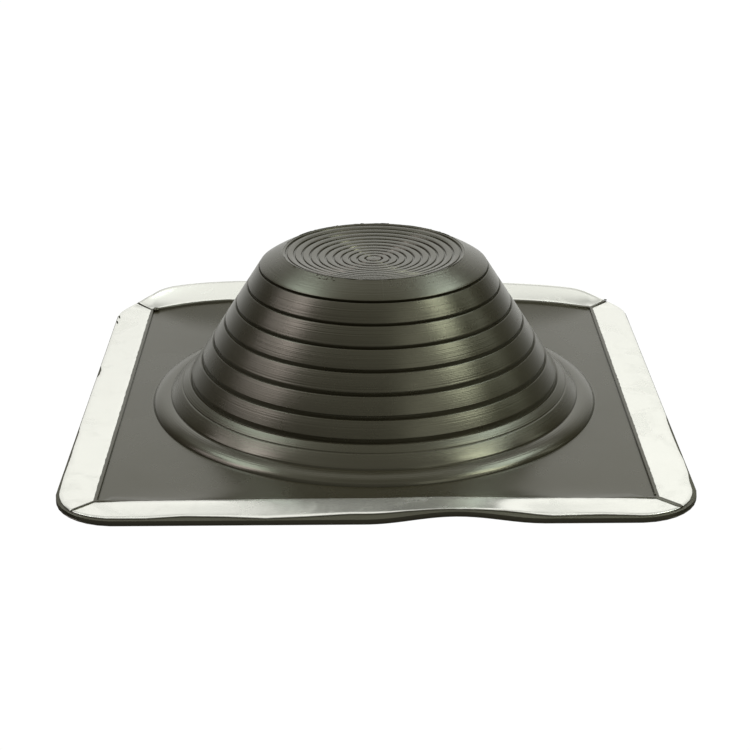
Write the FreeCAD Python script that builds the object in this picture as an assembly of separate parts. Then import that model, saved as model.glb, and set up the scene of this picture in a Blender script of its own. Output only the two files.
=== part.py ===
import FreeCAD, Part

import math
import os

# Pipe flashing boot for a sheet roof, before its top is cut open for the pipe.
# One moulded rubber piece holds a square sheet, a round foot ring, a stepped cone and a closed,
# dished top with rings to cut along. Four soft aluminium strips are bonded on the sheet's border.
# The border has bent in store: its back edge curls up, and its front edge has one low wave.
# Millimetres, Z up. The sheet lies on Z = 0 and the cone stands on the Z axis.
# Front is -Y, back is +Y, left is -X and right is +X.

# ---- square rubber sheet ----
SHEET_SIDE = 434.0
SHEET_CORNER_R = 44.0
SHEET_T = 4.0

# ---- aluminium edge strips ----
STRIP_MARGIN = 2.0           # rubber left showing outside the strips
STRIP_W = 25.0
STRIP_T = 0.9
MITRE_GAP = 3.4              # between two strips at a corner, measured across the mitre
BOND_GAP = 0.05              # film of adhesive between rubber and aluminium

# ---- rubber lip along the inside of the strips and in their mitres ----
LIP_W = 2.6
LIP_H = 1.5                  # above the sheet

# ---- bends of the border ----
CURL_LIFT = 16.0             # back edge above the ground, in the middle
CURL_LEAN = 3.0              # its left end lifts so much more, and its right end less
CURL_NEAR_X = 105.0          # out to the side, where the curl reaches nearest to the middle
CURL_NEAR_Y = 118.0
RING_CLEAR = 4.0             # from the foot ring to the curl and the wave
WAVE_LIFT = 5.5              # crest of the front wave above the ground
WAVE_X = 52.0                # where its crest lies
WAVE_HALF_W = 60.0           # crest to either end of the wave

# ---- foot ring and collar of the cone ----
FOOT_R = 168.0
RING_SIDE_W = 1.8            # steep outside of the ring
RING_SIDE_H = 3.4            # above the sheet
RING_BROW_W = 3.4            # rounded brow between the side and the top of the ring
RING_BROW_H = 1.9
RING_TOP_W = 8.4             # nearly level top of the ring, up to the crease
RING_TOP_H = 0.9
COLLAR_W = 8.6               # collar between crease and ridge
COLLAR_H = 8.7
APRON_W = 6.6                # slope between the ridge and the lowest step
APRON_H = 5.3

# ---- stepped cone ----
CONE_SLOPE_DEG = 57.4
STEP_COUNT = 7
STEP_PITCH = 16.6            # measured up the slope
STEP_LEDGE = 1.8             # level ledge on which each band stands back
SHOULDER_START = 5.5         # topmost step to the shoulder, up the slope
SHOULDER_W = 3.8             # shoulder between the slope and the crown
SHOULDER_H = 3.0
CROWN_W = 11.3               # gently sloping crown, up to the rim
CROWN_H = 3.6
WALL = 3.2

# ---- dished top ----
DISH_DEPTH = 6.2
DISH_FLAT_R = 12.0
TOP_RING_FIRST_R = 6.3
TOP_RING_PITCH = 5.86
TOP_RING_STEP_W = 1.6
TOP_RING_STEP_H = 1.0

# ---- worked out from the sizes above ----
HALF = SHEET_SIDE / 2
STRIP_OUTER = HALF - STRIP_MARGIN
STRIP_INNER = STRIP_OUTER - STRIP_W
SLOPE = math.radians(CONE_SLOPE_DEG)
UP_SLOPE = (-math.cos(SLOPE), math.sin(SLOPE))


# ---- flat facets that the bends are made of ----
SLAB_HALF = HALF + 1.0       # slabs reach this far, and outlines are cut from them
CURL_COLUMNS = (-1, -0.9, -0.8, -0.66, -0.52, -0.3, 0,
                0.3, 0.52, 0.66, 0.8, 0.9, 1)
CURL_ROWS = (0, 0.45, 0.75, 1)
WAVE_COLUMNS = (-1, -0.65, -0.35, 0, 0.35, 0.65, 1)
WAVE_ROWS = (0, 0.6, 1)

Vector = FreeCAD.Vector


# ---------------------------------------------------------------- flat outlines

def square(half, corner_r=0.0):
    """Face of a square about the origin, with rounded corners where a radius is given."""
    if corner_r <= 0:
        return Part.makePlane(2 * half, 2 * half, Vector(-half, -half, 0))
    edges = []
    flat = half - corner_r
    tip = flat + corner_r * math.sqrt(0.5)
    for turn in range(4):
        angle = math.radians(90 * turn)
        cosine, sine = math.cos(angle), math.sin(angle)

        def at(x, y):
            return Vector(x * cosine - y * sine, x * sine + y * cosine, 0)

        edges.append(Part.LineSegment(at(half, -flat), at(half, flat)).toShape())
        edges.append(Part.Arc(at(half, flat), at(tip, tip), at(flat, half)).toShape())
    return Part.Face(Part.Wire(edges))


def beside_edge(inset):
    """Face of the sheet's outline drawn in by an inset, round the same corner centres."""
    return square(HALF - inset, SHEET_CORNER_R - inset)


def quarter(angle_deg, clear):
    """Face of the quarter of the plan towards an angle, its sides held clear of the diagonals."""
    far = SHEET_SIDE
    shift = clear * math.sqrt(2)
    corners = [Vector(shift, 0, 0), Vector(far + shift, far, 0), Vector(far + shift, -far, 0)]
    face = Part.Face(Part.makePolygon(corners + corners[:1]))
    face.rotate(Vector(0, 0, 0), Vector(0, 0, 1), angle_deg)
    return face


# ---------------------------------------------------------------- bent border

def curl_start(x):
    """Y at which the back of the sheet starts to curl: clear of the ring, and later at the sides."""
    lip_inside = STRIP_INNER - LIP_W
    share = min(1.0, max(0.0, (abs(x) - CURL_NEAR_X) / (STRIP_INNER - CURL_NEAR_X)))
    beside = CURL_NEAR_Y + (lip_inside - CURL_NEAR_Y) * share ** 2
    ring = FOOT_R + RING_CLEAR
    return max(beside, math.sqrt(max(0.0, ring ** 2 - x ** 2)))


def wave_start(x):
    """Distance to the front at which the sheet starts to wave."""
    return FOOT_R + RING_CLEAR


def curl_lift(x, share):
    """Lift of the curl, a share of the way from its start to the back edge."""
    across = min(1.0, abs(x) / HALF)
    return (CURL_LIFT - CURL_LEAN * x / HALF) * (1 - across ** 5) * share ** 2


def wave_lift(x, share):
    """Lift of the wave, a share of the way from its start to the front edge."""
    across = min(1.0, abs(x - WAVE_X) / WAVE_HALF_W)
    return WAVE_LIFT * math.cos(math.pi / 2 * across) ** 2 * share ** 2


def bent_grid(columns, rows, start, lift, side):
    """Columns of points of a bent stretch, from its start to the slab's edge on one side."""
    grid = []
    for x in columns:
        first = start(x)
        distances = [first + (SLAB_HALF - first) * row for row in rows]
        shares = [(distance - first) / (HALF - first) for distance in distances]
        grid.append([Vector(x, side * distance, lift(x, share))
                     for distance, share in zip(distances, shares)])
    return grid


def facets(grid):
    """Two flat facets in each cell of a grid."""
    faces = []
    for near, far in zip(grid, grid[1:]):
        for row in range(len(near) - 1):
            faces.append([near[row], near[row + 1], far[row + 1]])
            faces.append([near[row], far[row + 1], far[row]])
    return faces


def bent_slab(bottom, thickness):
    """Slab a little larger than the sheet, flat but for the facets of the curl and the wave."""
    curl = bent_grid([SLAB_HALF * share for share in CURL_COLUMNS], CURL_ROWS, curl_start, curl_lift, 1)
    wave = bent_grid([WAVE_X + WAVE_HALF_W * share for share in WAVE_COLUMNS], WAVE_ROWS,
                     wave_start, wave_lift, -1)
    front_right = Vector(SLAB_HALF, -SLAB_HALF, 0)
    front_left = Vector(-SLAB_HALF, -SLAB_HALF, 0)
    flat = [column[0] for column in curl] + [front_right] + wave[-1][::-1]
    flat += [column[0] for column in wave[-2:0:-1]] + wave[0] + [front_left]
    edge = curl[0] + [column[-1] for column in curl[1:-1]] + curl[-1][::-1] + [front_right]
    edge += [column[-1] for column in reversed(wave)] + [front_left]
    low, rise = Vector(0, 0, bottom), Vector(0, 0, thickness)
    outlines = []
    for face in [flat] + facets(curl) + facets(wave):
        outlines.append([corner + low for corner in face])
        outlines.append([corner + low + rise for corner in face])
    for a, b in zip(edge, edge[1:] + edge[:1]):
        outlines.append([a + low, b + low, b + low + rise, a + low + rise])
    faces = [Part.Face(Part.makePolygon(outline + outline[:1])) for outline in outlines]
    return Part.makeSolid(Part.makeShell(faces))


def bent_plate(outline, bottom, thickness):
    """Plate of a flat outline that follows the border's bends, between two heights above it."""
    base = outline.copy()
    base.translate(Vector(0, 0, -thickness))
    cutter = base.extrude(Vector(0, 0, bottom + 3 * thickness + 2 * CURL_LIFT))
    return bent_slab(bottom, thickness).common(cutter)


# ---------------------------------------------------------------- revolved profile

def moved(point, direction, distance):
    """Profile point (radius, height) moved along a direction."""
    return (point[0] + direction[0] * distance, point[1] + direction[1] * distance)


def ring_points():
    """Outside of the foot ring and collar: foot, side, brow, crease and ridge."""
    foot = (FOOT_R, SHEET_T)
    side = (foot[0] - RING_SIDE_W, foot[1] + RING_SIDE_H)
    brow = (side[0] - RING_BROW_W, side[1] + RING_BROW_H)
    crease = (brow[0] - RING_TOP_W, brow[1] + RING_TOP_H)
    ridge = (crease[0] - COLLAR_W, crease[1] + COLLAR_H)
    return foot, side, brow, crease, ridge


def cone_points(ridge):
    """Outside of the cone: lowest step, start and end of the shoulder, and rim."""
    lowest = (ridge[0] - APRON_W, ridge[1] + APRON_H)
    shoulder = moved(lowest, UP_SLOPE, (STEP_COUNT - 1) * STEP_PITCH + SHOULDER_START)
    crown = (shoulder[0] - SHOULDER_W, shoulder[1] + SHOULDER_H)
    rim = (crown[0] - CROWN_W, crown[1] + CROWN_H)
    return lowest, shoulder, crown, rim


def dish_height(radius, rim):
    """Height of the dished top: flat in the middle, then an arc that rises to the rim."""
    span = rim[0] - DISH_FLAT_R
    arc_r = (span ** 2 + DISH_DEPTH ** 2) / (2 * DISH_DEPTH)
    out = max(0.0, radius - DISH_FLAT_R)
    return rim[1] - DISH_DEPTH + arc_r - math.sqrt(arc_r ** 2 - out ** 2)


def top_ring_radii(rim):
    """Radii of the rings in the top, from the outermost to the middle."""
    room = rim[0] - TOP_RING_STEP_W - TOP_RING_FIRST_R
    count = int(room / TOP_RING_PITCH) + 1
    return [TOP_RING_FIRST_R + ring * TOP_RING_PITCH for ring in reversed(range(count))]


def outside_points():
    """Whole outside of the revolved wall, from its foot under the sheet to the axis."""
    foot, side, brow, crease, ridge = ring_points()
    lowest, shoulder, crown, rim = cone_points(ridge)
    points = [(foot[0], 0.0), foot, side, brow, crease, ridge]
    for count in range(STEP_COUNT):
        edge = moved(lowest, UP_SLOPE, count * STEP_PITCH)
        points += [edge, (edge[0] - STEP_LEDGE, edge[1])]
    points += [shoulder, crown, rim]
    for radius in top_ring_radii(rim):
        inner = radius - TOP_RING_STEP_W
        points.append((radius, dish_height(radius, rim)))
        points.append((inner, dish_height(inner, rim) - TOP_RING_STEP_H))
    return points + [(0.0, dish_height(0, rim))]


def inside_points():
    """Plain line that the inside follows at the wall's thickness."""
    foot, _, _, crease, ridge = ring_points()
    lowest, _, _, rim = cone_points(ridge)
    top = dish_height(0, rim)
    corner = moved(lowest, UP_SLOPE, (top - lowest[1]) / UP_SLOPE[1])
    return [(foot[0], 0.0), foot, crease, lowest, corner, (0.0, top)]


def profile_wire(points):
    """Wire through profile points, in the XZ plane."""
    return Part.makePolygon([Vector(radius, 0, height) for radius, height in points])


def cone_wall():
    """Foot ring, cone and closed top as one revolved wall, open underneath."""
    outside = profile_wire(outside_points())
    inside = profile_wire(inside_points()).makeOffset2D(WALL, 2, False, True)
    closing = []
    for free_end in (0, -1):
        ends = [wire.OrderedVertexes[free_end].Point for wire in (outside, inside)]
        closing.append(Part.LineSegment(*ends).toShape())
    section = Part.Face(Part.Wire(Part.__sortEdges__(outside.Edges + inside.Edges + closing)))
    return section.revolve(Vector(0, 0, 0), Vector(0, 0, 1), 360)


# ---------------------------------------------------------------- pieces

def lip():
    """Lip on the sheet: a square ring inside the strips and a bar in each mitre."""
    outer = STRIP_INNER - BOND_GAP
    inside = square(outer - LIP_W)
    ring = square(outer).cut(inside)
    bars = beside_edge(STRIP_MARGIN).cut(inside)
    for angle_deg in (0, 90, 180, 270):
        bars = bars.cut(quarter(angle_deg, MITRE_GAP / 2 - BOND_GAP))
    return bent_plate(ring.fuse(bars), SHEET_T / 2, SHEET_T / 2 + LIP_H)


def rubber_boot():
    """The moulded rubber piece: sheet, lip, foot ring, cone and top."""
    passage = Part.Face(Part.Wire(Part.makeCircle(FOOT_R - WALL / 2)))
    sheet = bent_plate(square(HALF, SHEET_CORNER_R).cut(passage), 0, SHEET_T)
    return sheet.fuse([lip(), cone_wall()]).removeSplitter()


def edge_strip(angle_deg):
    """One soft aluminium strip, mitred at both ends, on the side of the sheet at an angle."""
    border = beside_edge(STRIP_MARGIN).cut(square(STRIP_INNER))
    outline = border.common(quarter(angle_deg, MITRE_GAP / 2))
    return bent_plate(outline, SHEET_T + BOND_GAP, STRIP_T).removeSplitter()


def main():
    os.makedirs("parts", exist_ok=True)
    pieces = {"rubber_boot": rubber_boot()}
    for side, angle_deg in (("right", 0), ("back", 90), ("left", 180), ("front", 270)):
        pieces["edge_strip_" + side] = edge_strip(angle_deg)
    for name, shape in pieces.items():
        shape.exportStep("parts/" + name + ".step")


main()
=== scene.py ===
"""The looks of a pipe flashing boot: moulded black rubber with soft aluminium edge strips.

Shapes are worked out in millimetres, and warped() or mm() turns them into metres. The sheet lies on
Z = 0 and the cone stands on the Z axis. Front is -Y, back is +Y, left is -X and right is +X.
"""
import math

import bmesh
import bpy
import numpy as np
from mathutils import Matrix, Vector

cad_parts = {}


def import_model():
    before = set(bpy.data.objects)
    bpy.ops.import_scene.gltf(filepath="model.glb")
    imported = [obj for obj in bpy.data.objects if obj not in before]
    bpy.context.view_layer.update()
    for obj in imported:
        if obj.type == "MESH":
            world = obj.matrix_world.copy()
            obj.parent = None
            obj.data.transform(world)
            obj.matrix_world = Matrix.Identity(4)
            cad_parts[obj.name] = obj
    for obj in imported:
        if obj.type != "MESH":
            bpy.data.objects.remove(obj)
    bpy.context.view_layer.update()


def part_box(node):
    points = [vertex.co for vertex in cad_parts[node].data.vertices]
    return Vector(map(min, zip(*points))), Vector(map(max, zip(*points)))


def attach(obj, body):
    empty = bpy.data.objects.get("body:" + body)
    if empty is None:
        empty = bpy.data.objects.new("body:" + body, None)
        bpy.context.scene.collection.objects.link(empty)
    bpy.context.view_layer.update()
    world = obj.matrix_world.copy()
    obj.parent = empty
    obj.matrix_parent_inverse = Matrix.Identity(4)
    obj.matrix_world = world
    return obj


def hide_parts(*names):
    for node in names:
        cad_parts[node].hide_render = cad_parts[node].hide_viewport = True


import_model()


def mm(*values):
    """Millimetres as metres."""
    return values[0] / 1000 if len(values) == 1 else tuple(value / 1000 for value in values)


# ---------------------------------------------------------------- sizes, in millimetres
# The overall sizes and the strips' places come from the frame. The rest repeats the CAD source, or is
# detail that is too fine for it.

BOOT_HIGH = np.array(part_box("rubber_boot")[1]) * 1000
STRIP_LOW, STRIP_HIGH = (np.array(corner) * 1000 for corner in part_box("edge_strip_right"))

HALF = BOOT_HIGH[0]                       # half of the square sheet's side
TOP_Z = BOOT_HIGH[2]                      # height of the rim
STRIP_INNER = STRIP_LOW[0]
STRIP_OUTER = STRIP_HIGH[0]
STRIP_END = STRIP_HIGH[1]                 # where a strip's outer edge meets its mitre
STRIP_Z = STRIP_LOW[2]                    # underside of the strips
STRIP_T = 0.9

SHEET_T = 4.0
SHEET_CORNER_R = 44.0
SHEET_BROW = 0.5                          # inset where the sheet's edge begins to round over
SHEET_EDGE = (                            # (inset, height) down the edge, with a fine line along it
    (0.12, SHEET_T - 0.15), (0, SHEET_T - 0.5), (0, 1.5), (0.35, 1.25), (0.35, 1.05),
    (0.1, 0.8), (0.1, 0.3), (0.4, 0))
WALL = 3.2

LIP_W = 2.6                               # lip round the inner edges of the strips
LIP_H = 1.5
LIP_GAP = 0.1                             # between it and the strips
LIP_FOOT = 0.15                           # the sheet begins to rise this far inside it
LIP_DRAFT = 0.05                          # lean of its sides
LIP_ROUND = 0.35                          # its rounded edges, seen from above
FRONT_LIP_H = 0.35                        # worn low along the front strip
FRONT_LIP_BLEND = 6                       # how sharply it gets lower at the front corners

MITRE_GAP = 3.4                           # between two strips of the solid
MITRE_GAPS = (3.6, 2.6, 0.8, 1.8)         # as made: front right, back right, back left, front left
BAR_CLEAR = 0.15                          # between the bar of rubber in a mitre and each strip
BAR_INSIDE = 2.0                          # the bar starts this far inside the strips
BAR_SHORT = 2.2                           # and ends this far short of the sheet's corner
BAR_SUNK = 0.5                            # it stands in the sheet by this
BAR_EDGE_H = 0.3                          # height of its sloping edges
BAR_FLAT = 0.8                            # share of its width that is flat
BAR_DROP = 0.4                            # its outer end is lower
BAR_STEPS = 9

# Bare rubber outside a strip, more (+) or less (-) than in the solid, as (place along it, width):
# front, right, back, left.
MARGINS = (
    ((-200, 0.0), (-190, 0.6), (-153, 0.2), (-127, 2.8), (-100, 1.6), (-74, -0.6), (-48, 1.0),
     (-18, 3.8), (18, 3.8), (54, 0.8), (84, 3.6), (97, 3.0), (116, 0.4), (149, 1.8), (176, 0.2),
     (195, 0.4), (203, 0.0)),
    ((-203, 0.4), (-185, 1.2), (-165, 1.0), (-148, -0.6), (-128, -1.0), (-112, -0.2), (-80, 0.0),
     (-58, -0.3), (-48, -1.2), (150, -1.2), (203, -0.8)),
    ((-203, -0.8), (-100, -1.0), (0, -0.7), (110, -1.0), (203, -0.9)),
    ((-203, -0.8), (-150, -1.2), (-58, -1.2), (-50, 0.2), (-40, 0.1), (-32, -1.2), (62, -1.1),
     (75, -0.3), (100, -0.4), (115, 0.0), (150, -0.3), (185, 0.8), (203, 0.2)),
)
STRIP_STEPS = (300, 9)                    # points along and across a strip's mesh
STRIP_BED = 0.05                          # between a strip and its solid's underside
STRIP_BEVEL = 0.12
INNER_WAVES = ((0.25, 9), (0.2, 60))      # (height, length) of the wander of a strip's inner edge
OUTER_WAVES = (0.12, 8)
DENTS = (0.08, 35, 20)                    # depth, and length along X and along Y
WAVE_COUNT = 5                            # sines in each wander

CURL_LIFT = 16.0                          # bends of the border
CURL_LEAN = 3.0
CURL_NEAR_X = 105.0
CURL_NEAR_Y = 118.0
RING_CLEAR = 4.0
WAVE_LIFT = 5.5
WAVE_X = 52.0
WAVE_HALF_W = 60.0
SWELL_LIFT = 2.0                          # soft swell of the sheet in front of the cone
SWELL_HALF_W = 190.0
SWELL_OUT = np.linspace(0, 1, 9)
SWELL_SHARE = (0, 0.16, 0.5, 0.8, 0.84, 0.7, 0.52, 0.34, 0)

FOOT_R = 168.0
FOOT_FILLET = 0.3
RING_BASE = 3.2                           # height at which the ring's round outside would end upright
RING_STEPS = 14
CREASE = (154.4, 10.2)                    # (radius, height) where ring and collar meet
COLLAR = (                                # (radius, height, rounding) from the crease up to the cone
    (154.2, 10.1, 0.1), (153.8, 11.2, 0.6), (146.3, 18.5, 0.6), (145.3, 18.6, 0.15),
    (144.9, 19.5, 0.3))
LOWEST_GROOVE = (139.2, 24.2)
CONE_SLOPE = math.radians(57.4)
GROOVE_COUNT = 7
GROOVE_PITCH = 16.6                       # up the slope
GROOVE_DEPTH = 2.5                        # inwards, level
GROOVE_DIP = 0.9                          # its bottom below its lower lip
GROOVE_BELOW = (1.3, 0.6)                 # lower lip below the solid's step: lowest, topmost groove
GROOVE_ABOVE = (2.6, 1.3)                 # upper lip above it
GROOVE_ROUNDING = 0.5                     # lower lip and bottom
GROOVE_TOP_ROUNDING = 0.35
SHOULDER_START = 5.5                      # topmost groove to the shoulder, up the slope
SHOULDER_W = 3.8
CROWN_W = 11.3
CROWN_START = 0.3                         # topmost groove's upper lip to the crown's curve
CROWN_BEND = (79.2, 113.4)                # where the tangents of that curve meet
CROWN_STEPS = 12
SEAM_ANGLE = 4.0                          # from the front, in degrees
SEAM_W = 2.4
SEAM_SECTION = ((-1, -0.02), (-0.5, 0.02), (0, 0.035), (0.5, 0.02), (1, -0.02))

FLASH_H = 0.5                             # torn flash left standing on the rim
FLASH_T = 0.4
FLASH_LEAN = (-0.1, 0.15)                 # inwards, outwards
FLASH_LOW = (0.25, 0.45)                  # shares of its height where it is worn even
FLASH_BITS = 26                           # stretches of it that stand or are torn off
FLASH_BIT_LENGTHS = (2, 9)                # in rays
FLASH_BIT_HEIGHTS = (0.0, 0.05, 0.7, 1.0)
FLASH_BIT_UNEVEN = 0.1
FLASH_SECTION = (                         # (place across it, share of its height) from the outside in
    (0.5, 0.0), (0.45, 0.85), (0.2, 1.0), (-0.2, 1.0), (-0.45, 0.85), (-0.5, -0.1))

BURRS = (                                 # flash that hangs over the rim: angle, length, height
    (-36, 2.2, 0.9), (-33, 2.0, 0.8), (-31, 3.6, 1.3), (-28, 3.2, 1.0), (-26, 1.6, 0.9),
    (-23.3, 1.8, 1.2), (-14, 1.0, 0.6), (8.5, 1.8, 0.6), (11, 0.9, 0.5), (19, 1.5, 1.1),
    (22, 0.8, 0.5), (31, 2.6, 0.6), (35, 1.4, 0.7), (47, 1.4, 1.2), (58, 1.2, 0.6),
    (118, 2.4, 0.7), (131, 3.0, 0.9), (139, 1.6, 0.7), (170, 2.2, 0.5), (187, 3.4, 0.7),
    (204, 2.0, 0.6), (221, 1.8, 0.7))
BURR_T = 0.9
BURR_OUT = 0.35                           # its middle from the rim
BURR_HANG = 0.55                          # its middle below the rim, as a share of its height
BURR_SUNK = 0.1                           # and lower by this
TORN_ANGLES = (-37, -24)                  # patch of torn crumbs under the rim
TORN_COUNT = 20
TORN_REACH = 1.8                          # down from the rim
TORN_CROWDING = 1.5                       # more than 1 crowds them to the rim
TORN_LENGTHS = (1, 2.8)
TORN_T = 0.7
TORN_HEIGHTS = (0.5, 0.9)
TORN_SEED = 50
NUBS = (                                  # lumps on the border: place, and size along X, Y and Z
    (-185.5, 188.0, 6.5, 5.0, 3.4), (187.5, -184.0, 2.5, 2.0, 1.4), (203.0, 203.5, 3.0, 2.0, 1.4),
    (-214.9, 171.0, 1.8, 3.0, 1.6), (-215.2, 158.0, 1.6, 3.0, 1.6))
NUB_SEED = 100
CRUMB_SHRINK = 0.7                        # least share of its size at which a crumb's point lies

DISH_DEPTH = 6.2
DISH_FLAT_R = 12.0
DISH_EDGE_DROP = 0.05                     # its outer edge below the foot of the flash
NIB_R = 1.2                               # low nib in the middle
NIB_H = 0.25
NIB_ROUNDING = 0.3                        # at its foot
TOP_GROOVE_FIRST_R = 6.3
TOP_GROOVE_PITCH = 5.86
TOP_GROOVE_W = 1.7
TOP_GROOVE_D = 0.95                       # below its inner brink
TOP_GROOVE_SIDE_W = 0.3                   # each of its steep sides, seen from above
TOP_GROOVE_ROUNDING = 0.1

CEILING_SPREAD = 10.0                     # edge of the plain ceiling outside the rim
INSIDE = (                                # (radius, height, rounding) from there down to the mouth
    (136.8, 22.0, 3), (150.5, 7.5, 3), (164.8, 1.9, 1), (164.8, 0.0, 0))

AROUND = 240                              # rays round the boot's mesh; a multiple of 8
FIELD_LOOPS = 7                           # between the ring and the lip
BORDER_LOOPS = 4                          # between the lip and the sheet's edge
UNDER_LOOPS = 5                           # between the sheet's edge and the mouth
SMOOTH_ANGLE = 38                         # edges sharper than this stay sharp, in degrees
SEED = 7
UP = np.array((0, 0, 1))


# ---------------------------------------------------------------- warp of the thin border

def back_start(x):
    """Y where the back of the sheet starts to curl up: behind the cone's ring, and later at the sides."""
    lip_inside = STRIP_INNER - LIP_W
    share = np.clip((np.abs(x) - CURL_NEAR_X) / (STRIP_INNER - CURL_NEAR_X), 0, 1)
    beside = CURL_NEAR_Y + (lip_inside - CURL_NEAR_Y) * share ** 2
    ring = FOOT_R + RING_CLEAR
    return np.maximum(beside, np.sqrt(np.maximum(0.0, ring ** 2 - x ** 2)))


def lift(x, y):
    """How far the sheet stands above the ground: a curled back edge, a wave and a swell in front."""
    start = back_start(x)
    out = np.maximum(0.0, y - start) / (HALF - start)
    across = np.minimum(1.0, np.abs(x) / HALF)
    curl = (CURL_LIFT - CURL_LEAN * x / HALF) * (1 - across ** 5) * out ** 2
    start = FOOT_R + RING_CLEAR
    out = np.clip((-y - start) / (HALF - start), 0, 1)
    across = np.minimum(1.0, np.abs(x - WAVE_X) / WAVE_HALF_W)
    wave = WAVE_LIFT * np.cos(math.pi / 2 * across) ** 2 * out ** 2
    across = np.minimum(1.0, np.abs(x) / SWELL_HALF_W)
    swell = SWELL_LIFT * (1 - across ** 2) * np.interp(out, SWELL_OUT, SWELL_SHARE)
    return curl + wave + swell


def warped(points):
    """Points in millimetres, lifted with the border, in metres."""
    points = np.array(points, float)
    points[..., 2] += lift(points[..., 0], points[..., 1])
    return points / 1000


# ---------------------------------------------------------------- profiles

def rounded(corners, steps=4):
    """Profile through (radius, height, rounding) corners, each rounded by an arc-like curve."""
    most = 0.49                           # share of a side that one rounding may take
    out = []
    for index, (r, z, rounding) in enumerate(corners):
        if rounding <= 0 or index in (0, len(corners) - 1):
            out.append((r, z))
            continue
        here = np.array((r, z))
        before = np.array(corners[index - 1][:2]) - here
        after = np.array(corners[index + 1][:2]) - here
        reach_a = min(rounding, np.linalg.norm(before) * most)
        reach_b = min(rounding, np.linalg.norm(after) * most)
        a = here + before / np.linalg.norm(before) * reach_a
        b = here + after / np.linalg.norm(after) * reach_b
        for t in np.linspace(0, 1, steps + 1):
            out.append(tuple((1 - t) ** 2 * a + 2 * t * (1 - t) * here + t * t * b))
    return out


def up_slope(point, distance):
    """(radius, height) at a distance up the cone's slope from another."""
    return point[0] - math.cos(CONE_SLOPE) * distance, point[1] + math.sin(CONE_SLOPE) * distance


def rim_radius():
    """Radius of the rim, which lies inside the shoulder by the widths of shoulder and crown."""
    shoulder = up_slope(LOWEST_GROOVE, (GROOVE_COUNT - 1) * GROOVE_PITCH + SHOULDER_START)
    return shoulder[0] - SHOULDER_W - CROWN_W


def dish_height(radius):
    """Height of the dished top: flat in the middle, then an arc that rises to the rim."""
    span = rim_radius() - DISH_FLAT_R
    arc_r = (span ** 2 + DISH_DEPTH ** 2) / (2 * DISH_DEPTH)
    out = max(0.0, radius - DISH_FLAT_R)
    return TOP_Z - FLASH_H - DISH_DEPTH + arc_r - math.sqrt(arc_r ** 2 - out ** 2)


def ring_arc():
    """Round outside of the foot ring, from the sheet up to the crease."""
    height = CREASE[1] - RING_BASE
    first = math.asin((SHEET_T - RING_BASE) / height)
    width = (FOOT_R - CREASE[0]) / math.cos(first)
    angles = np.linspace(first, math.pi / 2, RING_STEPS)
    return [(CREASE[0] + width * math.cos(a), RING_BASE + height * math.sin(a), 0) for a in angles]


def crown_curve():
    """Gentle curve from just above the topmost groove to the rim, as (radius, height)."""
    start = (GROOVE_COUNT - 1) * GROOVE_PITCH + GROOVE_ABOVE[1] + CROWN_START
    first = np.array(up_slope(LOWEST_GROOVE, start))
    bend = np.array(CROWN_BEND)
    rim = np.array((rim_radius() + FLASH_T / 2, TOP_Z - FLASH_H))
    shares = np.linspace(0, 1, CROWN_STEPS)
    return [(1 - t) ** 2 * first + 2 * t * (1 - t) * bend + t * t * rim for t in shares]


def cone_corners():
    """Outside of the foot ring and the cone, from the sheet up to the rim's flash."""
    corners = ring_arc() + list(COLLAR)
    ends = (0, GROOVE_COUNT - 1)
    for count in range(GROOVE_COUNT):
        edge = up_slope(LOWEST_GROOVE, count * GROOVE_PITCH)
        lower = up_slope(edge, -np.interp(count, ends, GROOVE_BELOW))
        upper = up_slope(edge, np.interp(count, ends, GROOVE_ABOVE))
        corners.append((*lower, GROOVE_ROUNDING))
        corners.append((lower[0] - GROOVE_DEPTH, lower[1] - GROOVE_DIP, GROOVE_ROUNDING))
        corners.append((*upper, GROOVE_TOP_ROUNDING))
    return corners + [(*point, 0) for point in crown_curve()]


def dish_corners():
    """Ringed, dished top from the rim to the axis."""
    corners = [(rim_radius() - FLASH_T / 2, TOP_Z - FLASH_H - DISH_EDGE_DROP, 0)]
    count = int((rim_radius() - TOP_GROOVE_W - TOP_GROOVE_FIRST_R) / TOP_GROOVE_PITCH) + 1
    for ring in reversed(range(count)):
        radius = TOP_GROOVE_FIRST_R + ring * TOP_GROOVE_PITCH
        outer, inner = radius + TOP_GROOVE_W / 2, radius - TOP_GROOVE_W / 2
        bottom_z = dish_height(inner) - TOP_GROOVE_D
        corners += [(r, z, TOP_GROOVE_ROUNDING) for r, z in (
            (outer, dish_height(outer)), (outer - TOP_GROOVE_SIDE_W, bottom_z),
            (inner + TOP_GROOVE_SIDE_W, bottom_z), (inner, dish_height(inner)))]
    return corners + [(NIB_R, dish_height(0), NIB_ROUNDING), (0.0, dish_height(0) + NIB_H, 0)]


def inside_corners():
    """Plain inside of the cone, from the axis down to its mouth."""
    rim_r = rim_radius()
    ceiling = dish_height(0) - WALL
    return [(0.0, ceiling, 0), (rim_r / 2, ceiling, 4), (rim_r + CEILING_SPREAD, ceiling, 3), *INSIDE]


# ---------------------------------------------------------------- loops round the boot

ANGLES = np.arange(AROUND) * 2 * math.pi / AROUND
COS, SIN = np.cos(ANGLES), np.sin(ANGLES)


def circle_loop(radius, height):
    """Loop round the Z axis, with one point on each ray."""
    return np.stack([radius * COS, radius * SIN, np.full(AROUND, float(height))], 1)


def profile_loops(profile):
    """Loops through the points of a profile, which runs the other way round: last point first."""
    return [circle_loop(r, z) for r, z in reversed(profile)]


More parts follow.
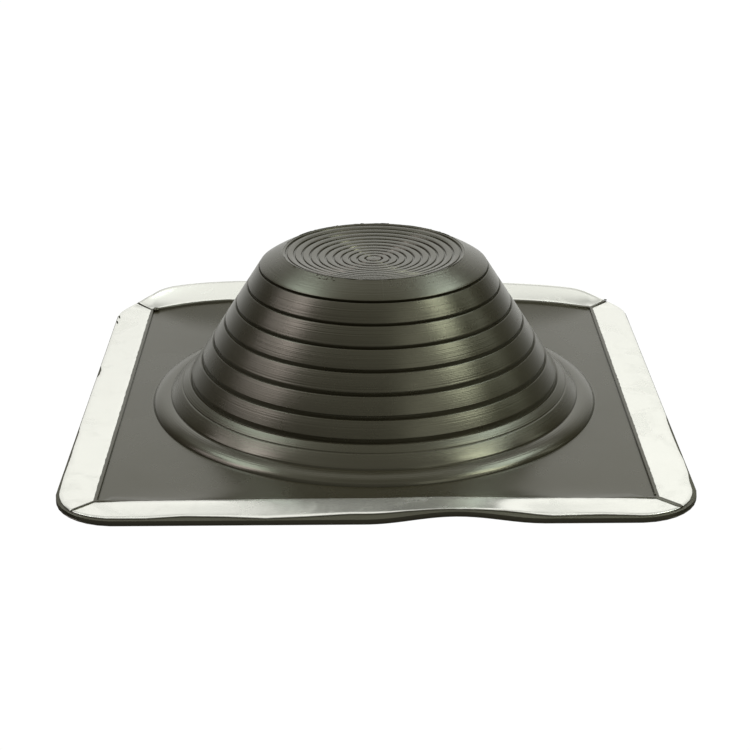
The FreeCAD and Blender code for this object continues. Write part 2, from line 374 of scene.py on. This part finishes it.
def outline_distance(half, corner_r):
    """Distance from the origin to a rounded square's outline, along each ray."""
    big, small = np.maximum(np.abs(COS), np.abs(SIN)), np.minimum(np.abs(COS), np.abs(SIN))
    flat = half / big
    if corner_r <= 0:
        return flat
    centre = half - corner_r
    along = centre * (big + small)
    corner = along + np.sqrt(np.maximum(0.0, along ** 2 - 2 * centre ** 2 + corner_r ** 2))
    return np.where(flat * small > centre, corner, flat)


def square_loop(half, height, corner_r=0.0):
    """Loop along a square's outline, with one point on each ray."""
    distance = outline_distance(half, corner_r)
    return np.stack([distance * COS, distance * SIN, np.full(AROUND, float(height))], 1)


def between(first, last, count):
    """Loops evenly spaced between two others, without their ends."""
    return [first + (last - first) * step / (count + 1) for step in range(1, count + 1)]


def edge_loop(inset, height):
    """Loop along the sheet's outline, drawn in by an inset round the same corner centres."""
    return square_loop(HALF - inset, height, SHEET_CORNER_R - inset)


def ragged(rng):
    """Height of the torn flash at each ray: low, with bits left standing and gaps, from 0 to 1."""
    out = rng.uniform(*FLASH_LOW, AROUND)
    for _ in range(FLASH_BITS):
        first = rng.integers(AROUND)
        length = rng.integers(*FLASH_BIT_LENGTHS)
        height = rng.choice(FLASH_BIT_HEIGHTS)
        out[(first + np.arange(length)) % AROUND] = height + rng.uniform(0, FLASH_BIT_UNEVEN, length)
    return np.clip(out, 0, 1)


def flash_loops():
    """Outside, top and inside of the thin torn flash round the rim, from the outside in."""
    rng = np.random.default_rng(SEED)
    height = ragged(rng)
    lean = rng.uniform(*FLASH_LEAN, AROUND)
    loops = []
    for offset, share in FLASH_SECTION:
        loop = circle_loop(1.0, TOP_Z - FLASH_H)
        radius = rim_radius() + FLASH_T * offset + lean * share
        loop[:, :2] *= radius[:, None]
        loop[:, 2] += FLASH_H * share * height
        loops.append(loop)
    return loops


def lip_loops():
    """Lip round the inner edges of the strips, from its inner foot to its outer one."""
    outer = STRIP_INNER - LIP_GAP
    inner = outer - LIP_W
    front = np.clip((-SIN - np.abs(COS)) * FRONT_LIP_BLEND, 0, 1)
    height = LIP_H - (LIP_H - FRONT_LIP_H) * front
    loops = [square_loop(inner - LIP_FOOT, SHEET_T)]
    for half, share in ((inner, 0.1), (inner + LIP_DRAFT, 0.8), (inner + LIP_ROUND, 1.0),
                        (outer - LIP_ROUND, 1.0), (outer - LIP_DRAFT, 0.8), (outer, 0.0)):
        loops.append(square_loop(half, SHEET_T))
        loops[-1][:, 2] += height * share
    return loops


def boot_loops():
    """Every loop of the boot's closed skin, from the top's middle, over the outside, to the inside."""
    loops = profile_loops(rounded(dish_corners(), 2)[1:-1])
    loops += reversed(flash_loops())
    loops += profile_loops(rounded(cone_corners())[:-1])
    loops.append(circle_loop(FOOT_R + FOOT_FILLET, SHEET_T))
    lip = lip_loops()
    loops += between(loops[-1], lip[0], FIELD_LOOPS) + lip
    brow = edge_loop(SHEET_BROW, SHEET_T)
    loops += between(loops[-1], brow, BORDER_LOOPS) + [brow]
    loops += [edge_loop(inset, height) for inset, height in SHEET_EDGE]
    inside = profile_loops(rounded(inside_corners())[1:])
    return loops + between(loops[-1], inside[0], UNDER_LOOPS) + inside


# ---------------------------------------------------------------- meshes

def new_object(name, vertices, faces, smooth=True):
    """Mesh object in the scene; smooth shades it round its edges, up to SMOOTH_ANGLE."""
    mesh = bpy.data.meshes.new(name)
    mesh.from_pydata([tuple(v) for v in vertices], [], [tuple(f) for f in faces])
    mesh.validate()
    mesh.update()
    if smooth:
        mesh.shade_smooth()
        mesh.set_sharp_from_angle(angle=math.radians(SMOOTH_ANGLE))
    piece = bpy.data.objects.new(name, mesh)
    bpy.context.scene.collection.objects.link(piece)
    return piece


def loop_faces(count, around):
    """Quads between consecutive closed loops."""
    faces = []
    for row in range(count - 1):
        a, b = row * around, (row + 1) * around
        for i in range(around):
            j = (i + 1) % around
            faces.append((a + i, b + i, b + j, a + j))
    return faces


def boot_mesh():
    """Closed skin of the moulded rubber piece, with its bars, crumbs and seam as closed islands."""
    loops = boot_loops()
    vertices = warped(np.concatenate(loops))
    faces = loop_faces(len(loops), AROUND)
    top_centre = len(vertices)
    inside_centre = top_centre + 1
    last = (len(loops) - 1) * AROUND
    for i in range(AROUND):
        j = (i + 1) % AROUND
        faces.append((top_centre, i, j))
        faces.append((inside_centre, last + j, last + i))
    centres = [(0, 0, mm(dish_height(0) + NIB_H)), (0, 0, mm(dish_height(0) - WALL))]
    vertices = np.concatenate([vertices, centres])
    islands = [mitre_bar(quarter) for quarter in range(4)] + crumbs() + [seam()]
    for points, island_faces in islands:
        faces += [tuple(v + len(vertices) for v in face) for face in island_faces]
        vertices = np.concatenate([vertices, warped(points)])
    return new_object("boot_skin", vertices, faces)


def axes_at(angle):
    """Unit vectors at an angle in degrees from the front: outwards, and along the rim."""
    here = math.radians(angle)
    outward = np.array((math.sin(here), -math.cos(here), 0))
    along = np.array((math.cos(here), math.sin(here), 0))
    return outward, along


def crumb(middle, along, outward, size, seed):
    """Small uneven lump of rubber: its points in millimetres and its faces."""
    rng = np.random.default_rng(seed)
    ball = bmesh.new()
    bmesh.ops.create_icosphere(ball, subdivisions=2, radius=0.5)
    points = []
    for corner in ball.verts:
        a, b, c = corner.co
        offset = along * a * size[0] + outward * b * size[1] + UP * c * size[2]
        points.append(middle + rng.uniform(CRUMB_SHRINK, 1.0) * offset)
    faces = [[vertex.index for vertex in face.verts] for face in ball.faces]
    ball.free()
    return np.array(points), faces


def crumbs():
    """Every crumb of the boot: torn flash over and under the rim, and lumps on the border."""
    out = []
    for index, (angle, length, height) in enumerate(BURRS):
        outward, along = axes_at(angle)
        drop = BURR_HANG * height + BURR_SUNK
        middle = outward * (rim_radius() + BURR_OUT) + UP * (TOP_Z - drop)
        out.append(crumb(middle, along, outward, (length, BURR_T, height), index))
    rng = np.random.default_rng(SEED)
    radii, heights = np.array(crown_curve()).T
    for index in range(TORN_COUNT):
        outward, along = axes_at(rng.uniform(*TORN_ANGLES))
        z = TOP_Z - FLASH_H - TORN_REACH * rng.random() ** TORN_CROWDING
        middle = outward * np.interp(z, heights, radii) + UP * z
        size = (rng.uniform(*TORN_LENGTHS), TORN_T, rng.uniform(*TORN_HEIGHTS))
        out.append(crumb(middle, along, outward, size, TORN_SEED + index))
    right, back = np.eye(3)[:2]
    for index, (x, y, *size) in enumerate(NUBS):
        middle = np.array((x, y, SHEET_T + LIP_H))
        out.append(crumb(middle, right, back, size, NUB_SEED + index))
    return out


def seam():
    """Fine raised line that the mould's joint leaves down the front of the crown."""
    outward, along = axes_at(SEAM_ANGLE)
    points = []
    for radius, height in crown_curve():
        for side, rise in SEAM_SECTION:
            place = (radius + rise) * outward + (height + rise) * UP
            points.append(place + side * SEAM_W / 2 * along)
    around = len(SEAM_SECTION)
    faces = loop_faces(len(points) // around, around)
    faces += [tuple(range(around)), tuple(len(points) - 1 - corner for corner in range(around))]
    return np.array(points), faces


def turned(points, quarter):
    """Points turned about the Z axis by a number of quarter turns."""
    cosine, sine = ((1, 0), (0, 1), (-1, 0), (0, -1))[quarter % 4]
    out = np.array(points, float)
    x, y = out[..., 0].copy(), out[..., 1].copy()
    out[..., 0], out[..., 1] = x * cosine - y * sine, x * sine + y * cosine
    return out


def mitre_bar(quarter):
    """Bar of rubber that fills the mitre between two strips, as tall as the lip."""
    half_w = MITRE_GAPS[(quarter + 1) % 4] / 2 - BAR_CLEAR
    start = (STRIP_INNER - BAR_INSIDE) * math.sqrt(2)
    end = (HALF - SHEET_CORNER_R) * math.sqrt(2) + SHEET_CORNER_R - BAR_SHORT
    low, high = SHEET_T - BAR_SUNK, SHEET_T + LIP_H
    section = [(-1, low), (-1, high - BAR_EDGE_H), (-BAR_FLAT, high),
               (BAR_FLAT, high), (1, high - BAR_EDGE_H), (1, low)]
    points = []
    for step in range(BAR_STEPS):
        along = start + (end - start) * step / (BAR_STEPS - 1)
        drop = BAR_DROP * (step == BAR_STEPS - 1)
        for across, height in section:
            side = across * half_w * math.sqrt(0.5)
            x, y = along * math.sqrt(0.5) - side, along * math.sqrt(0.5) + side
            points.append((x, y, height - drop * (height > low)))
    faces = loop_faces(BAR_STEPS, len(section))
    faces.append(tuple(range(len(section))))
    faces.append(tuple(len(points) - 1 - corner for corner in range(len(section))))
    return turned(points, quarter), faces


# ---------------------------------------------------------------- aluminium edge strips

def wobble(at, rng, scale):
    """Smooth seeded wander along a line: a few sines of random phase and wavelength."""
    out = np.zeros_like(at)
    for _ in range(WAVE_COUNT):
        length = scale * rng.uniform(0.5, 1.8)
        out += np.sin(at / length * 2 * math.pi + rng.uniform(0, 2 * math.pi)) / WAVE_COUNT
    return out


def strip_edges(quarter, rng):
    """Inner and outer edge of a front strip, each as X and Y, with the mitres and margins of its side."""
    s = np.linspace(-1, 1, STRIP_STEPS[0])
    gap = np.where(s < 0, MITRE_GAPS[quarter - 1], MITRE_GAPS[quarter])
    inner_x = s * (STRIP_INNER - gap / math.sqrt(2))
    outer_x = s * (STRIP_END + (MITRE_GAP - gap) / 2 / math.sqrt(2))
    corner = HALF - SHEET_CORNER_R
    corner_r = STRIP_OUTER - corner
    bent = np.maximum(0.0, np.abs(outer_x) - corner)
    outer_y = -(corner + np.sqrt(corner_r ** 2 - bent ** 2))
    inner_y = np.full_like(inner_x, -STRIP_INNER)
    for height, length in INNER_WAVES:
        inner_y += height * wobble(inner_x, rng, length)
    stops, margins = zip(*MARGINS[quarter])
    height, length = OUTER_WAVES
    outer_y += np.interp(outer_x, stops, margins) + height * wobble(outer_x, rng, length)
    return inner_x, inner_y, outer_x, outer_y


def strip_faces(along, across):
    """Faces of a closed strip whose upper points come first, row by row, and then the lower ones."""
    count = along * across
    faces = []
    for i in range(along - 1):
        for j in range(across - 1):
            a, b = i * across + j, (i + 1) * across + j
            faces.append((a, a + 1, b + 1, b))
            faces.append((count + a, count + b, count + b + 1, count + a + 1))
    rim = [i * across for i in range(along)]
    rim += [(along - 1) * across + j for j in range(1, across)]
    rim += [i * across + across - 1 for i in reversed(range(along - 1))]
    rim += list(reversed(range(1, across - 1)))
    for k, a in enumerate(rim):
        b = rim[(k + 1) % len(rim)]
        faces.append((a, b, count + b, count + a))
    return faces


def strip_mesh(name, quarter, seed):
    """One soft strip, made as the front one and then turned to its side of the sheet."""
    rng = np.random.default_rng(seed)
    inner_x, inner_y, outer_x, outer_y = strip_edges(quarter, rng)
    v = np.linspace(0, 1, STRIP_STEPS[1])
    x = inner_x[:, None] * (1 - v) + outer_x[:, None] * v
    y = inner_y[:, None] * (1 - v) + outer_y[:, None] * v
    depth, length_x, length_y = DENTS
    dents = depth * wobble(x, rng, length_x) * wobble(y, rng, length_y)
    high = np.stack([x, y, STRIP_Z + STRIP_T + np.abs(dents)], 2)
    low = np.stack([x, y, np.full_like(x, STRIP_Z + STRIP_BED)], 2)
    points = np.concatenate([high.reshape(-1, 3), low.reshape(-1, 3)])
    piece = new_object(name, warped(turned(points, quarter)), strip_faces(*STRIP_STEPS), smooth=False)
    bevel = piece.modifiers.new("soft_edges", "BEVEL")
    bevel.width = mm(STRIP_BEVEL)
    bevel.segments = 2
    bevel.limit_method = "ANGLE"
    bevel.angle_limit = math.radians(60)
    piece.data.shade_smooth()
    return piece


# ---------------------------------------------------------------- looks of the materials
# The scales of the noises are per metre, and a pair's values are mixed by a noise.

RUBBER_COLOURS = ((0.0125, 0.0105, 0.005), (0.0195, 0.0175, 0.010))
RUBBER_ROUGHNESS = (0.25, 0.31)
RUBBER_IOR = 1.52
RUBBER_TINT = (1.0, 0.99, 0.82)           # of its reflections
RING_R = (148, 153)                       # the ring's gloss begins between these radii, in millimetres
RING_GLOSS = -0.12                        # roughness added to the foot ring
DISH_GLOSS = -0.09                        # to the dished top
MARGIN_MATT = 0.35                        # and to the bare margin outside the strips
MARGIN_INSETS = (6, 4)                    # it begins between these, from the strips' outer edge
MARK_SCALE = 1000                         # lathe marks of the mould
RUBBER_GRAIN_SCALE = 2600
RUBBER_GRAIN = 0.06                       # its height as a share of the marks'
RUBBER_BUMP = 0.18                        # in millimetres
SMUDGE_SCALE = 16

ALUMINIUM_COLOURS = ((0.67, 0.67, 0.635), (0.72, 0.72, 0.68))
ALUMINIUM_ROUGHNESS = (0.15, 0.22)
ALUMINIUM_METALLIC = 0.88
PATCH_SCALE = 22
ALUMINIUM_GRAIN_SCALE = 900
ALUMINIUM_BUMP = 0.05                     # in millimetres
WIPE_SCALE = 40
SCUFFS = (0.5, 0.72, 0.16)                # wipes from none to full, and the roughness of a full one


def new_material(name):
    """Material, its node tree and its shader."""
    material = bpy.data.materials.new(name)
    material.use_nodes = True
    return material, material.node_tree, material.node_tree.nodes["Principled BSDF"]


def noise(tree, vector, scale, detail, roughness=0.55, distortion=0.0):
    """Noise from 0 to 1 at a place."""
    node = tree.nodes.new("ShaderNodeTexNoise")
    node.inputs["Scale"].default_value = scale
    node.inputs["Detail"].default_value = detail
    node.inputs["Roughness"].default_value = roughness
    node.inputs["Distortion"].default_value = distortion
    tree.links.new(vector, node.inputs["Vector"])
    return node.outputs["Fac"]


def ramp(tree, value, low, high, to_low, to_high):
    """Value that goes from to_low to to_high as another goes from low to high."""
    node = tree.nodes.new("ShaderNodeMapRange")
    for name, number in zip(("From Min", "From Max", "To Min", "To Max"), (low, high, to_low, to_high)):
        node.inputs[name].default_value = number
    tree.links.new(value, node.inputs["Value"])
    return node.outputs["Result"]


def math_node(tree, operation, first, second=None):
    """Result of an operation on sockets or plain numbers."""
    node = tree.nodes.new("ShaderNodeMath")
    node.operation = operation
    for socket, value in zip(node.inputs, (first, second)):
        if value is None:
            continue
        if isinstance(value, (int, float)):
            socket.default_value = value
        else:
            tree.links.new(value, socket)
    return node.outputs["Value"]


def plus(tree, first, second):
    return math_node(tree, "ADD", first, second)


def times(tree, first, second):
    return math_node(tree, "MULTIPLY", first, second)


def split(tree, vector):
    """X, Y and Z of a vector."""
    node = tree.nodes.new("ShaderNodeSeparateXYZ")
    tree.links.new(vector, node.inputs[0])
    return node.outputs


def mix_colour(tree, factor, colours):
    """Colour between two others."""
    node = tree.nodes.new("ShaderNodeMix")
    node.data_type = "RGBA"
    tree.links.new(factor, node.inputs["Factor"])
    for name, colour in zip("AB", colours):
        node.inputs[name].default_value = (*colour, 1)
    return node.outputs["Result"]


def add_bump(tree, shader, height, strength, distance):
    """Fine relief on a shader, from a height; the distance is in metres."""
    bump = tree.nodes.new("ShaderNodeBump")
    bump.inputs["Strength"].default_value = strength
    bump.inputs["Distance"].default_value = distance
    tree.links.new(height, bump.inputs["Height"])
    tree.links.new(bump.outputs[0], shader.inputs["Normal"])


def rubber_roughness(tree, smudges, x, y, radius, on_cone):
    """Satin, glossier on the foot ring and the dished top, and matt on the bare margin."""
    satin = ramp(tree, smudges, 0.3, 0.7, *RUBBER_ROUGHNESS)
    on_ring = times(tree, on_cone, ramp(tree, radius, *mm(*RING_R), 0, RING_GLOSS))
    on_dish = ramp(tree, radius, mm(rim_radius() + 1), mm(rim_radius() - 1), 0, 1)
    from_middle = math_node(tree, "MAXIMUM", math_node(tree, "ABSOLUTE", x), math_node(tree, "ABSOLUTE", y))
    first, last = (mm(STRIP_OUTER - inset) for inset in MARGIN_INSETS)
    on_margin = ramp(tree, from_middle, first, last, 0, MARGIN_MATT)
    gloss = plus(tree, satin, plus(tree, on_ring, times(tree, on_dish, DISH_GLOSS)))
    return plus(tree, gloss, on_margin)


def rubber_material():
    """Moulded EPDM: near black, satin, with lathe marks of the mould round the cone."""
    material, tree, shader = new_material("black_rubber")
    place = tree.nodes.new("ShaderNodeTexCoord").outputs["Object"]
    x, y, z = split(tree, place)
    radius = math_node(tree, "SQRT", plus(tree, times(tree, x, x), times(tree, y, y)))
    round_place = tree.nodes.new("ShaderNodeCombineXYZ")
    tree.links.new(radius, round_place.inputs[0])
    tree.links.new(z, round_place.inputs[1])
    marks = noise(tree, round_place.outputs[0], MARK_SCALE, 2, 0.6)
    grain = noise(tree, place, RUBBER_GRAIN_SCALE, 2)
    smudges = noise(tree, place, SMUDGE_SCALE, 5, 0.6)
    on_cone = ramp(tree, radius, mm(FOOT_R + 2), mm(FOOT_R - 2), 0, 1)
    roughness = rubber_roughness(tree, smudges, x, y, radius, on_cone)
    tree.links.new(mix_colour(tree, smudges, RUBBER_COLOURS), shader.inputs["Base Color"])
    tree.links.new(roughness, shader.inputs["Roughness"])
    shader.inputs["IOR"].default_value = RUBBER_IOR
    shader.inputs["Specular Tint"].default_value = (*RUBBER_TINT, 1)
    height = plus(tree, times(tree, marks, on_cone), times(tree, grain, RUBBER_GRAIN))
    add_bump(tree, shader, height, 1.0, mm(RUBBER_BUMP))
    return material


def aluminium_material():
    """Soft mill-finish aluminium, slightly scuffed and dulled."""
    material, tree, shader = new_material("soft_aluminium")
    place = tree.nodes.new("ShaderNodeTexCoord").outputs["Object"]
    patches = noise(tree, place, PATCH_SCALE, 5, 0.6)
    grain = noise(tree, place, ALUMINIUM_GRAIN_SCALE, 3)
    wipes = noise(tree, place, WIPE_SCALE, 4, 0.6, 0.8)
    none, full, rough = SCUFFS
    scuffs = ramp(tree, wipes, none, full, 0, rough)
    roughness = plus(tree, ramp(tree, patches, 0.3, 0.7, *ALUMINIUM_ROUGHNESS), scuffs)
    tree.links.new(mix_colour(tree, patches, ALUMINIUM_COLOURS), shader.inputs["Base Color"])
    tree.links.new(roughness, shader.inputs["Roughness"])
    shader.inputs["Metallic"].default_value = ALUMINIUM_METALLIC
    add_bump(tree, shader, grain, 0.25, mm(ALUMINIUM_BUMP))
    return material


# ---------------------------------------------------------------- studio

FLOOR_HALF = 90.0                         # in metres
FLOOR_GLOW = 1.02

# Light of the room by direction, as (X, Y or Z of the direction, strength) stops.
BACKDROP = ((-1.0, 0.5), (-0.7, 0.48), (-0.35, 0.35), (0.0, 0.1), (0.46, 0.1), (0.6, 0.2),
            (0.75, 0.6), (0.9, 1.32), (1.0, 1.35))
BACKDROP_BY_HEIGHT = ((0.0, 0.7), (0.3, 0.78), (0.36, 0.89), (0.43, 1.04), (0.5, 1.06),
                      (0.58, 0.55), (0.7, 0.35), (1.0, 0.35))
BACKDROP_BY_SIDE = ((-1.0, 0.96), (-0.25, 0.97), (0.0, 1.0), (0.25, 1.05), (1.0, 1.05))
CEILING = ((0.0, 0.0), (0.55, 0.12), (0.7, 1.1), (0.92, 1.15), (0.96, 0.7), (1.0, 0.5))
CEILING_BY_DEPTH = ((-1.0, 0.5), (-0.5, 0.6), (0.0, 1.0), (1.0, 1.0))
ROOM_COLOUR = (1, 1, 0.965)

LAMP_AIM_Z = 0.05                         # height that the lamps look at, in metres
# Name, azimuth, elevation, distance, width, height, radiance, colour; degrees and metres. Azimuth 0 is
# the front and 90 the right.
LAMPS = (
    ("right_key", 67, 41, 0.9, 0.2, 0.4, 11.0, (0.95, 1.0, 0.80)),
    ("right_broad", 42, 33, 1.8, 1.1, 0.8, 1.5, (1.0, 1.0, 0.86)),
    ("right_side", 100, 25, 1.8, 0.3, 0.6, 1.6, (0.95, 1.0, 0.86)),
    ("left_key", -87, 30, 1.8, 1.0, 0.7, 2.6, (1.0, 0.90, 0.93)),
    ("left_bright", -76, 41, 0.9, 0.18, 0.35, 5.5, (1.0, 0.86, 0.93)),
    ("right_rear", 110, 54, 1.8, 1.1, 0.5, 6.8, (0.86, 1.0, 0.92)),
    ("left_rear", -112, 54, 1.8, 1.0, 0.5, 5.6, (0.86, 1.0, 0.92)),
)
FILL = ("floor_fill", 0, 90, 2.5, 3.0, 3.0, 0.5, (1, 1, 1))

SENSOR_W = 36.0
FOCAL_LENGTH = 88.335
CAMERA_PLACE = (-11.402, -1302.409, 541.465)
CAMERA_TURN = (68.147, 0.132, -0.588)     # in degrees


def floor():
    """Large white light table, so that the object stands on plain white without a shadow."""
    size = FLOOR_HALF
    corners = [(-size, -size, 0), (size, -size, 0), (size, size, 0), (-size, size, 0)]
    ground = new_object("studio_floor", corners, [(0, 1, 2, 3)], smooth=False)
    material, _, shader = new_material("white_table")
    shader.inputs["Base Color"].default_value = (0, 0, 0, 1)
    shader.inputs["Specular IOR Level"].default_value = 0
    shader.inputs["Emission Color"].default_value = (1, 1, 1, 1)
    shader.inputs["Emission Strength"].default_value = FLOOR_GLOW
    ground.data.materials.append(material)
    ground.visible_diffuse = False
    ground.visible_glossy = False


def softbox(name, azimuth, elevation, distance, width, height, radiance, colour):
    """Area lamp that looks at the cone."""
    light = bpy.data.lights.new(name, "AREA")
    light.shape = "RECTANGLE"
    light.size = width
    light.size_y = height
    light.energy = radiance * width * height * math.pi
    light.color = colour
    lamp = bpy.data.objects.new(name, light)
    a, e = math.radians(azimuth), math.radians(elevation)
    lamp.location = (distance * math.sin(a) * math.cos(e), -distance * math.cos(a) * math.cos(e),
                     distance * math.sin(e) + LAMP_AIM_Z)
    lamp.rotation_euler = (math.pi / 2 - e, 0, a)
    bpy.context.scene.collection.objects.link(lamp)
    return lamp


def float_curve(tree, value, low, high, stops):
    """Curve through (value, result) stops; values lie between low and high, results between 0 and 2."""
    node = tree.nodes.new("ShaderNodeFloatCurve")
    points = node.mapping.curves[0].points
    while len(points) < len(stops):
        points.new(0.5, 0.5)
    for point, (at, result) in zip(points, stops):
        point.location = ((at - low) / (high - low), result / 2)
        point.handle_type = "VECTOR"
    node.mapping.update()
    tree.links.new(ramp(tree, value, low, high, 0, 1), node.inputs["Value"])
    return times(tree, node.outputs[0], 2.0)


def world():
    """Dim room with a wide white backdrop behind the object and a soft ceiling."""
    surround = bpy.data.worlds.new("studio")
    bpy.context.scene.world = surround
    surround.use_nodes = True
    tree = surround.node_tree
    x, y, z = split(tree, tree.nodes.new("ShaderNodeTexCoord").outputs["Generated"])
    behind = float_curve(tree, y, -1, 1, BACKDROP)
    behind = times(tree, behind, float_curve(tree, z, 0, 1, BACKDROP_BY_HEIGHT))
    behind = times(tree, behind, float_curve(tree, x, -1, 1, BACKDROP_BY_SIDE))
    above = float_curve(tree, z, 0, 1, CEILING)
    above = times(tree, above, float_curve(tree, y, -1, 1, CEILING_BY_DEPTH))
    background = tree.nodes["Background"]
    background.inputs["Color"].default_value = (*ROOM_COLOUR, 1)
    tree.links.new(math_node(tree, "MAXIMUM", behind, above), background.inputs["Strength"])


def camera():
    """Camera at the calibrated viewing angle."""
    lens = bpy.data.cameras.new("view")
    lens.sensor_width = SENSOR_W
    lens.lens = FOCAL_LENGTH
    lens.clip_end = 100
    view = bpy.data.objects.new("view", lens)
    view.location = mm(*CAMERA_PLACE)
    view.rotation_euler = tuple(math.radians(angle) for angle in CAMERA_TURN)
    bpy.context.scene.collection.objects.link(view)
    bpy.context.scene.camera = view


# ---------------------------------------------------------------- putting it together

boot = boot_mesh()
boot.data.materials.append(rubber_material())
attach(boot, "root")
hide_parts("rubber_boot")

aluminium = aluminium_material()
for quarter, side in enumerate(("front", "right", "back", "left")):
    strip = strip_mesh("strip_" + side, quarter, SEED + quarter)
    strip.data.materials.append(aluminium)
    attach(strip, "root")
    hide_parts("edge_strip_" + side)

floor()
world()
for lamp in LAMPS:
    softbox(*lamp)
fill = softbox(*FILL)
fill.visible_glossy = False
camera()
bpy.context.scene.view_settings.view_transform = "Standard"
